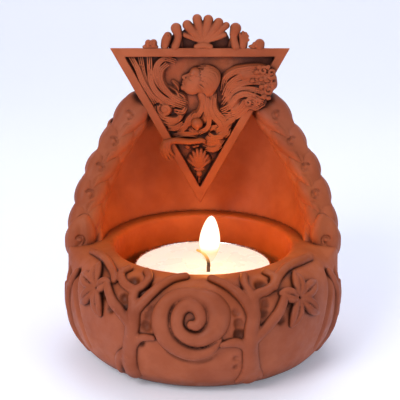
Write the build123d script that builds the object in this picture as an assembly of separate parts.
from build123d import *

import math
import os

# Clay shrine candle holder: a round pot with a candle well, a leaning hood behind the well, a hanging
# triangular plaque, and sprigged clay ornament, holding one loose tealight.
# Frame: origin on the underside at the well's axis, +Z up, the open front faces -Y. Millimetres.

# ---- driving dimensions ----
RIM_Z = 30.5  # height of the pot's rim
WELL_R = 24.25  # candle well radius
WELL_FLOOR_Z = 9.5
POT_FOOT_R = 27.0  # flat underside radius
LIP_R = 25.6  # where the front shoulder meets the flat lip of the well
POT_BELLY_R = 37.5
POT_BELLY_Z = 17.0
POT_TOP_R = 37.4  # radius of the seat that carries the hood
SPRIG_T = 1.8  # how far the pot's ornament stands out

CUP_R = 19.0  # standard tealight cup
CUP_H = 14.6
CUP_WALL = 0.3
WAX_GAP = 0.05
WAX_TOP_BELOW_RIM = 0.4
WICK_R = 0.6
WICK_H = 6.0
WICK_AT = (1.5, -3.2)  # the wick has drifted from the middle of the wax
SUSTAINER_R = 6.5
SUSTAINER_T = 0.5

HOOD_TOP_Z = 80.5
HOOD_EDGE_BOW = 0.85  # below 1 the hood's front edge leans back faster low down than high up

PLAQUE_X = -0.8  # the plaque was set a little to the left
PLAQUE_HALF_W = 24.9
PLAQUE_H = 45.0
PLAQUE_Y = 17.1  # the plaque's front face, which stands upright
PLAQUE_TIP_Z = 36.4
FRAME_BAR = 2.6
FRAME_T = 3.2
PANEL_RECESS = 2.0
CREST_T = 3.0
CREST_SETBACK = 0.2
CREST_X = 1.0
DOLPHINS_PER_SIDE = 6

# ---- placement frames ----
PLAQUE = Plane(origin=(PLAQUE_X, PLAQUE_Y, PLAQUE_TIP_Z), x_dir=(1, 0, 0), z_dir=(0, -1, 0))
PLAQUE_BACK_Y = PLAQUE_Y + FRAME_T


def cut(shape, others):
    """Takes the others away and keeps the biggest piece that is left."""
    for other in others:
        shape = shape - other
    return max(shape.solids(), key=lambda solid: solid.volume)


def wall_curve(grow=0.0):
    """The pot's outer wall from foot to belly to shoulder, as (radius, z), grown outwards."""
    return [
        (POT_FOOT_R + 0.3 * grow, 0.0),
        (30.6 + 0.6 * grow, 1.6),
        (34.3 + grow, 5.4),
        (36.8 + grow, 11.0),
        (POT_BELLY_R + grow, POT_BELLY_Z),
    ]


def shoulder_curve(grow=0.0):
    """The front shoulder from the belly up and over to the lip of the well."""
    return [
        (POT_BELLY_R + grow, POT_BELLY_Z),
        (36.6 + grow, 22.6),
        (33.7 + 0.7 * grow, 27.5 + 0.7 * grow),
        (29.7 + 0.2 * grow, 30.0 + grow),
        (LIP_R, RIM_Z + grow),
    ]


def revolved_face(edges):
    """Turns a closed set of edges drawn in the XZ plane into a full body about Z."""
    return revolve(Plane.XZ * make_face(edges), axis=Axis.Z, revolution_arc=360)


def pot_body():
    wall = Spline(*wall_curve(), tangents=[(1, 0.1), (0, 1)])
    top = Polyline(
        wall_curve()[-1],
        (POT_TOP_R, RIM_Z),
        (0, RIM_Z),
        (0, 0),
        (POT_FOOT_R, 0),
    )
    body = revolved_face(wall + top)
    shoulder = Spline(*shoulder_curve(), tangents=[(0, 1), (-1, 0)])
    outside = Polyline(
        shoulder_curve()[-1],
        (LIP_R, RIM_Z + 2),
        (POT_BELLY_R + 3, RIM_Z + 2),
        (POT_BELLY_R + 3, POT_BELLY_Z),
        shoulder_curve()[0],
    )
    wedge = Plane.XZ * make_face(shoulder + outside)
    front_wedge = Rot(0, 0, 180) * revolve(wedge, axis=Axis.Z, revolution_arc=180)
    well = Pos(0, 0, WELL_FLOOR_Z) * Cylinder(
        WELL_R, RIM_Z, align=(Align.CENTER, Align.CENTER, Align.MIN)
    )
    return body - front_wedge - well


def sprig_skin():
    """The layer of clay, one sprig thick, that lies on the pot's outside wall and front shoulder."""
    wall = Spline(*wall_curve(SPRIG_T), tangents=[(1, 0.4), (0, 1)])
    shoulder = Spline(*shoulder_curve(SPRIG_T), tangents=[(0, 1), (-1, 0)])
    inner = Polyline(shoulder_curve(SPRIG_T)[-1], (LIP_R, 0), wall_curve(SPRIG_T)[0])
    return revolved_face(wall + shoulder + inner)


# ---- the hood ----
EDGE_Z_PER_Y = 1.835  # mean slope of the front edge, up to where it meets the plaque's back


def edge_y(z):
    """The hood's front edge: it leans back as it rises until it meets the back of the plaque."""
    rise = max(0.0, (z - RIM_Z) / (HOOD_TOP_Z - RIM_Z))
    leaned = rise**HOOD_EDGE_BOW * (HOOD_TOP_Z - RIM_Z) / EDGE_Z_PER_Y
    return min(leaned, PLAQUE_BACK_Y)


# height, outside half width, outside back, wall thickness
HOOD_SECTIONS = [
    (RIM_Z, 37.4, 37.4, 9.0),
    (36.0, 36.5, 37.6, 7.4),
    (42.0, 34.9, 37.6, 6.5),
    (48.0, 32.5, 37.3, 6.0),
    (54.0, 29.1, 36.7, 5.7),
    (60.0, 25.4, 35.8, 5.4),
    (66.0, 21.2, 34.4, 5.2),
    (70.5, 17.6, 33.0, 5.0),
    (74.5, 13.4, 31.2, 4.8),
    (78.0, 8.8, 28.8, 4.4),
    (80.5, 4.2, 25.6, 0.0),
]
HOOD_HOLLOW_TOP = 9  # sections that reach into the hollow
EDGE_TRIM = 0.2  # keeps the cut clear of the sections' widest line


def ellipse_at(z, half_width, depth):
    """A section of the hood, its seam turned to the front, where it is cut away."""
    return Pos(0, edge_y(z), z) * Rot(0, 0, -90) * Ellipse(depth, half_width)


def hood_shell():
    outer = loft([ellipse_at(z, w, back - edge_y(z)) for z, w, back, _ in HOOD_SECTIONS])
    hollow_sections = []
    for z, w, back, wall in HOOD_SECTIONS[:HOOD_HOLLOW_TOP]:
        hollow_sections.append(ellipse_at(z, w - wall, back - wall - edge_y(z)))
    hollow = loft(hollow_sections)
    steps = 24
    heights = [RIM_Z + i * (HOOD_TOP_Z + 2 - RIM_Z) / steps for i in range(steps + 1)]
    side = [(edge_y(z) + EDGE_TRIM, z) for z in heights]
    below = (EDGE_TRIM, RIM_Z - 1)
    front_face = make_face(
        Polyline(below, *side, (-60, side[-1][1]), (-60, RIM_Z - 1), below)
    )
    front = extrude(Plane.YZ * front_face, amount=60, both=True)
    return outer - front - hollow


# ---- the dolphins on the hood's edge ----
DOLPHIN_TOP_Z = 62.4
DOLPHIN_STEP_Z = 6.9
DOLPHIN_Z = [DOLPHIN_TOP_Z - DOLPHIN_STEP_Z * i for i in range(DOLPHINS_PER_SIDE)]
DOLPHIN_SIZE = (10.6, 9.2, 5.4)  # along the edge, across it, off it
DOLPHIN_INSET = 3.4  # from the hood's outside to the middle of a dolphin


def hood_half_width(z):
    """Outside half width of the hood at a height, straight between the sections."""
    for low, high in zip(HOOD_SECTIONS, HOOD_SECTIONS[1:]):
        if low[0] <= z <= high[0]:
            share = (z - low[0]) / (high[0] - low[0])
            return low[1] + share * (high[1] - low[1])
    return HOOD_SECTIONS[0][1] if z < RIM_Z else HOOD_SECTIONS[-1][1]


def dolphin(z, side, neighbours):
    """A fat leaf of clay on the hood's front edge, cut back to what it sits on and to the one above."""
    half = hood_half_width(z)
    across = math.degrees(math.atan2(half - hood_half_width(z + 3), 3))
    along = math.degrees(math.atan2(edge_y(z + 3) - edge_y(z), 3))
    length, width, thick = DOLPHIN_SIZE
    leaf = extrude(Plane.XZ * Rot(0, 0, 90) * Ellipse(length / 2, width / 2), amount=thick / 2, both=True)
    turned = Rot(-along, -side * across, 0) * leaf
    return cut(Pos(side * (half - DOLPHIN_INSET), edge_y(z) - 0.4, z) * turned, neighbours)


# ---- strokes and sprigs ----
def capsule(start, end, r_start, r_end):
    """A flat stroke with round ends, tapering from one radius to the other."""
    dx, dy = end[0] - start[0], end[1] - start[1]
    length = math.hypot(dx, dy)
    nx, ny = -dy / length, dx / length
    body = make_face(
        Polyline(
            (start[0] + nx * r_start, start[1] + ny * r_start),
            (end[0] + nx * r_end, end[1] + ny * r_end),
            (end[0] - nx * r_end, end[1] - ny * r_end),
            (start[0] - nx * r_start, start[1] - ny * r_start),
            close=True,
        )
    )
    return body + Pos(*start) * Circle(r_start) + Pos(*end) * Circle(r_end)


def stroke(points):
    """One branch: points are (x, y, radius) and each pair is joined by a capsule."""
    shape = None
    for a, b in zip(points, points[1:]):
        piece = capsule(a[:2], b[:2], a[2], b[2])
        shape = piece if shape is None else shape + piece
    return shape


def on_pot(outline, angle, skin, pot):
    """A flat outline in (x across, y = height) pressed onto the pot at an angle about Z from the front."""
    front = Plane(origin=(0, -POT_BELLY_R - 20, 0), x_dir=(1, 0, 0), z_dir=(0, -1, 0))
    block = extrude(front * outline, amount=-POT_BELLY_R)
    return cut((Rot(0, 0, angle) * block) & skin, [pot])


TREE = [
    [(0, 3.4, 3.2), (0.2, 10.0, 2.3), (0.4, 19.0, 2.0)],
    [(0.4, 19.0, 1.9), (3.0, 24.0, 1.5), (6.4, 27.2, 1.3), (9.4, 28.8, 1.1)],
    [(0.4, 19.0, 1.8), (-0.4, 25.0, 1.4), (-2.4, 29.0, 1.1)],
    [(-0.4, 25.0, 1.3), (1.8, 29.2, 1.1)],
    [(0.2, 13.0, 1.9), (-4.0, 19.8, 1.6), (-6.4, 23.6, 1.2)],
    [(0.2, 12.0, 1.8), (4.2, 15.4, 1.1)],
]


def tree_outline(mirror):
    """A trunk with five curling branches; mirror is 1 or -1."""
    shape = None
    for branch in TREE:
        piece = stroke([(mirror * x, y, r) for x, y, r in branch])
        shape = piece if shape is None else shape + piece
    return shape


FLOWER_PETALS = 5
FLOWER_PETAL = (3.5, 1.7)  # half length, half width


def flower_outline(height):
    shape = Pos(0, height) * Circle(1.8)
    for i in range(FLOWER_PETALS):
        turn = i * 360 / FLOWER_PETALS + 20
        petal = Rot(0, 0, turn) * Pos(FLOWER_PETAL[0] + 0.4, 0) * Ellipse(*FLOWER_PETAL)
        shape = shape + Pos(0, height) * petal
    return shape


# ---- the plaque, in its own frame: x across, y up from the tip, z out of the face ----
def triangle(inset):
    """The plaque's triangle moved in by inset on every side."""
    side_angle = math.atan2(PLAQUE_H, PLAQUE_HALF_W)
    tip = inset / math.cos(side_angle)
    top = PLAQUE_H - inset
    half = (top - tip) / math.tan(side_angle)
    return make_face(Polyline((0, tip), (half, top), (-half, top), close=True))


def on_plaque(outline, depth, thickness):
    """Extrudes an outline in the plaque's frame; depth is how far behind the face its back lies."""
    return PLAQUE * Pos(0, 0, -depth) * extrude(outline, amount=thickness)


def plaque_frame():
    return on_plaque(triangle(0) - triangle(FRAME_BAR), FRAME_T, FRAME_T)


def plaque_panel():
    return on_plaque(triangle(FRAME_BAR), FRAME_T, FRAME_T - PANEL_RECESS)


def fan_outline(hinge, reach, lobes, first, last, lobe_r):
    """A scallop shell: lobes from a hinge point, spread between two angles in degrees."""
    shape = Pos(*hinge) * Circle(lobe_r * 1.2)
    for i in range(lobes):
        angle = math.radians(first + (last - first) * i / (lobes - 1))
        bulge = 0.80 + 0.20 * math.sin(math.pi * i / (lobes - 1))
        end = (
            hinge[0] + reach * bulge * math.cos(angle),
            hinge[1] + reach * bulge * math.sin(angle),
        )
        shape = shape + capsule(hinge, end, 0.5, lobe_r)
    return shape


# ---- the tealight ----
def tealight_cup():
    outside = Pos(0, 0, WELL_FLOOR_Z) * Cylinder(
        CUP_R, CUP_H, align=(Align.CENTER, Align.CENTER, Align.MIN)
    )
    inside = Pos(0, 0, WELL_FLOOR_Z + CUP_WALL) * Cylinder(
        CUP_R - CUP_WALL, CUP_H, align=(Align.CENTER, Align.CENTER, Align.MIN)
    )
    return outside - inside


def tealight_wax():
    floor = WELL_FLOOR_Z + CUP_WALL
    height = CUP_H - CUP_WALL - WAX_TOP_BELOW_RIM
    wax = Pos(0, 0, floor) * Cylinder(
        CUP_R - CUP_WALL - WAX_GAP, height, align=(Align.CENTER, Align.CENTER, Align.MIN)
    )
    return wax - wick_sustainer() - wick()


def wick_sustainer():
    floor = WELL_FLOOR_Z + CUP_WALL
    tab = Pos(*WICK_AT, floor) * Cylinder(
        SUSTAINER_R, SUSTAINER_T, align=(Align.CENTER, Align.CENTER, Align.MIN)
    )
    collar = Pos(*WICK_AT, floor) * Cylinder(
        WICK_R + 0.5, 3.0, align=(Align.CENTER, Align.CENTER, Align.MIN)
    )
    return tab + collar - wick()


def wick():
    floor = WELL_FLOOR_Z + CUP_WALL
    top = WELL_FLOOR_Z + CUP_H - WAX_TOP_BELOW_RIM + WICK_H
    return Pos(*WICK_AT, floor) * Cylinder(
        WICK_R, top - floor, align=(Align.CENTER, Align.CENTER, Align.MIN)
    )


# ---- the relief on the plaque's panel ----
RELIEF_BACK = PANEL_RECESS
HEAD_CENTRE = (0.0, 35.3)
HEAD_LENGTH = 11.5
HEAD_WIDTH = 8.4
HEAD_TILT = 40.0
NECK = [(1.2, 31.5, 1.9), (1.6, 27.5, 1.7), (0.9, 24.8, 2.2)]
HAIR_RIGHT = [(5.6, 31.0, 1.6), (8.0, 33.6, 2.2), (11.6, 36.4, 2.6), (15.6, 37.0, 3.2), (18.6, 34.6, 2.6)]
HAIR_FALL = [(5.6, 31.0, 1.4), (7.4, 28.6, 2.0), (8.6, 25.2, 2.2), (6.6, 21.0, 1.8)]
HAIR_LEFT = [(-14.6, 37.6, 1.6), (-11.8, 33.0, 2.4), (-8.6, 29.4, 2.4), (-4.8, 27.2, 1.8)]
ROBE_FOLDS = [(-6.4, 22.4, 1.8), (-3.6, 19.4, 1.8), (0.6, 17.6, 2.0), (4.4, 16.2, 1.8), (2.6, 13.2, 1.6)]
ARM = [(-10.0, 16.2, 1.5), (-6.4, 16.2, 1.3), (-1.4, 17.0, 1.1)]
PEARL_CENTRE = (-0.8, 22.0)
PEARL_R = 1.7
SMALL_SHELL_HINGE = (-0.4, 10.0)
SMALL_SHELL_REACH = 3.6


def relief_blank(outline, thickness):
    """A raised form on the panel, its back on the panel's face."""
    return on_plaque(outline, RELIEF_BACK, thickness)


def relief_parts():
    frame = plaque_frame()
    head = Pos(*HEAD_CENTRE) * Rot(0, 0, HEAD_TILT) * Ellipse(HEAD_LENGTH / 2, HEAD_WIDTH / 2)
    outlines = {
        "relief_head": (head, 3.0),
        "relief_neck": (stroke(NECK), 1.8),
        "relief_hair_right": (stroke(HAIR_RIGHT), 4.2),
        "relief_hair_fall": (stroke(HAIR_FALL), 2.2),
        "relief_hair_left": (stroke(HAIR_LEFT), 2.2),
        "relief_robe": (stroke(ROBE_FOLDS), 1.8),
        "relief_arm": (stroke(ARM), 2.6),
        "relief_pearl": (Pos(*PEARL_CENTRE) * Circle(PEARL_R), 2.4),
        "relief_shell": (fan_outline(SMALL_SHELL_HINGE, SMALL_SHELL_REACH, 7, 20, 160, 0.9), 2.0),
    }
    parts = {}
    taken = [frame]
    for name, (outline, thickness) in outlines.items():
        blank = relief_blank(outline, thickness)
        for other in taken:
            blank = blank - other
        parts[name] = blank
        taken.append(blank)
    return parts


# ---- the crest above the plaque ----
SHELL_REACH = 7.7
SHELL_LOBE_R = 1.35
SCROLLS = {
    "crest_scroll": [(8.6, 0.0, 1.2), (8.3, 2.4, 1.1), (8.2, 5.2, 1.5)],
    "crest_leaf": [(10.9, 0.0, 1.3), (10.8, 2.4, 1.4)],
    "crest_curl": [(15.2, 0.0, 1.0), (14.8, 1.0, 1.4)],
}


def crest_blank(outline):
    """Cuts an outline off at the plaque's top edge and gives it the crest's thickness."""
    above = Pos(0, PLAQUE_H) * Rectangle(60, 30, align=(Align.CENTER, Align.MIN))
    return on_plaque(outline & above, CREST_SETBACK + CREST_T, CREST_T)


def crest_parts():
    shell = fan_outline((CREST_X, PLAQUE_H + 0.4), SHELL_REACH, 7, 22, 158, SHELL_LOBE_R)
    foot = Pos(CREST_X, PLAQUE_H + 0.5) * Rectangle(4.0, 2.0)
    parts = {"crest_shell": crest_blank(shell + foot)}
    taken = [parts["crest_shell"]]
    for side, word in ((-1, "left"), (1, "right")):
        for name, points in SCROLLS.items():
            outline = stroke([(CREST_X + side * x, PLAQUE_H + y, r) for x, y, r in points])
            blank = crest_blank(outline)
            for other in taken:
                blank = blank - other
            parts[f"{name}_{word}"] = blank
            taken.append(blank)
    return parts


# ---- where the pot's sprigs go: degrees about Z from the front ----
PATTERN_TURN = -4.5  # the pattern sits a little to the left of the front
SPIRAL_R = 10.6
SPIRAL_Z = 20.4
TREE_TURN = 24.0
FLOWER_TURN = 49.0
FLOWER_Z = 24.2
SIDE_TREE_TURN = 74.0
BACK_TREE_TURN = 150.0
BACK_SPIRAL_Z = 15.0
BACK_TURN = 180.0


def pot_sprigs(pot, dolphins):
    """The band of ornament round the pot: a spiral between two trees, front and back."""
    skin = sprig_skin()
    spiral = Pos(0, SPIRAL_Z) * Circle(SPIRAL_R)
    spiral_front = on_pot(spiral, PATTERN_TURN, skin, pot)
    spiral_back = on_pot(Pos(0, BACK_SPIRAL_Z) * Circle(SPIRAL_R), BACK_TURN, skin, pot)
    parts = {"spiral_front": spiral_front, "spiral_back": spiral_back}
    for side, word in ((-1, "left"), (1, "right")):
        front = PATTERN_TURN + side * TREE_TURN
        flower_turn = PATTERN_TURN + side * FLOWER_TURN
        tree = cut(on_pot(tree_outline(-side), front, skin, pot), [spiral_front])
        flower = cut(on_pot(flower_outline(FLOWER_Z), flower_turn, skin, pot), [tree])
        side_tree = on_pot(tree_outline(side), side * SIDE_TREE_TURN, skin, pot)
        back_tree = on_pot(tree_outline(side), side * BACK_TREE_TURN, skin, pot)
        parts[f"tree_{word}"] = tree
        parts[f"flower_{word}"] = flower
        parts[f"side_tree_{word}"] = cut(side_tree, dolphins + [flower])
        parts[f"back_tree_{word}"] = cut(back_tree, [spiral_back])
    return parts


def build():
    pot = pot_body()
    hood = hood_shell()
    frame = plaque_frame()
    panel = plaque_panel()
    parts = {"pot_body": pot, "hood_shell": hood, "plaque_frame": frame, "plaque_panel": panel}
    dolphins = []
    for side, word in ((-1, "left"), (1, "right")):
        above = []
        for i, z in enumerate(DOLPHIN_Z):
            made = dolphin(z, side, [hood, pot, frame] + above)
            parts[f"dolphin_{word}_{i + 1}"] = made
            above = [made]
        dolphins = dolphins + above
    parts.update(relief_parts())
    parts.update(crest_parts())
    parts.update(pot_sprigs(pot, dolphins))
    parts["tealight_cup"] = tealight_cup()
    parts["tealight_wax"] = tealight_wax()
    parts["wick_sustainer"] = wick_sustainer()
    parts["wick"] = wick()
    return parts


def save(parts):
    os.makedirs("parts", exist_ok=True)
    for name, shape in parts.items():
        export_step(shape, f"parts/{name}.step")


save(build())
